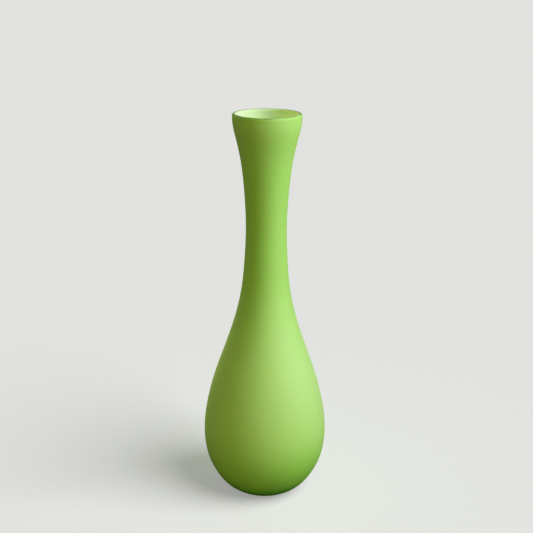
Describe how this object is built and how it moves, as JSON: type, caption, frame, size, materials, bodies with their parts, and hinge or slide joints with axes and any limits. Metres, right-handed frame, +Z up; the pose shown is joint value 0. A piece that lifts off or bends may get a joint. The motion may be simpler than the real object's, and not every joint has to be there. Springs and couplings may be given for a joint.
{
  "type": "bud vase",
  "caption": "Tall teardrop bud vase of satin cased glass, with a slim waisted neck and a flared mouth, for one or a few cut stems.",
  "frame": {"origin": "centre of the foot, on the surface that the vase stands on", "axes": "+Z up along the axis that the vase is turned about; X and Y are any two level directions"},
  "size_m": [0.0797, 0.0798, 0.25],
  "materials": {
    "green_glass": "satin, acid-etched outside",
    "opal_glass": "glossy, as blown",
    "lip_glass": "fire-polished"
  },
  "bodies": {
    "root": {"green_casing": "green_glass", "opal_lining": "opal_glass", "lip_band": "lip_glass"}
  },
  "joints": []
}
